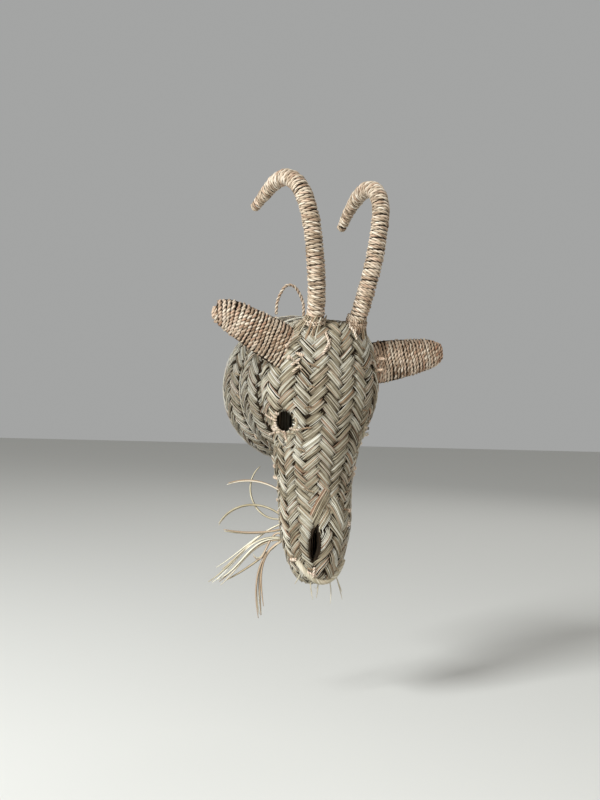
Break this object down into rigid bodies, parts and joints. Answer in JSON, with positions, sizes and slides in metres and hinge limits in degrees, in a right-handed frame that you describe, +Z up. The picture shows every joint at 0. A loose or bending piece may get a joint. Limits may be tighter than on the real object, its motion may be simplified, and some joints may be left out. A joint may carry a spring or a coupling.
{
  "type": "plaited grass goat head wall hanging",
  "caption": "Hollow goat's head sewn from plaited esparto grass bands, with cord-wrapped horns and ears and a loop to hang it on a wall.",
  "frame": {"origin": "centre of the neck's back rim, on the wall plane", "axes": "+Z up, -Y the way the face looks, +Y into the wall"},
  "size_m": [0.2787, 0.1395, 0.4755],
  "materials": {
    "plait": "matte",
    "sewing_cord": "matte",
    "horn_wrap": "matte",
    "ear_wrap": "matte",
    "grass_core": "matte",
    "loose_grass": "matte"
  },
  "bodies": {
    "root": {"back_band": "plait", "beard_knot": "sewing_cord", "beard_strands": "loose_grass", "cheek_band_left": "plait", "cheek_band_right": "plait", "chin_whiskers": "loose_grass", "collar_seam_stitches": "sewing_cord", "crown_band": "plait", "ear_core_left": "grass_core", "ear_core_right": "grass_core", "ear_stitches_left": "sewing_cord", "ear_stitches_right": "sewing_cord", "ear_wrap_left": "ear_wrap", "ear_wrap_right": "ear_wrap", "eye_rim_left": "sewing_cord", "eye_rim_right": "sewing_cord", "horn_bundle_left": "grass_core", "horn_bundle_right": "grass_core", "horn_root_tie_left": "sewing_cord", "horn_root_tie_right": "sewing_cord", "horn_wrap_left": "horn_wrap", "horn_wrap_right": "horn_wrap", "jaw_band": "plait", "jaw_seam_stitches_left": "sewing_cord", "jaw_seam_stitches_right": "sewing_cord", "loop_anchor_left": "sewing_cord", "loop_anchor_right": "sewing_cord", "neck_collar_front": "plait", "neck_collar_rear": "plait", "nose_band": "plait", "nose_seam_stitches_left": "sewing_cord", "nose_seam_stitches_right": "sewing_cord"},
    "loop": {"hanging_loop": "sewing_cord"}
  },
  "joints": [
    {"name": "loop_swing", "type": "hinge", "parent": "root", "child": "loop", "pos_m": [0, -0.008, 0.082], "axis": [1, 0, 0], "range_deg": [-75, 75]}
  ]
}
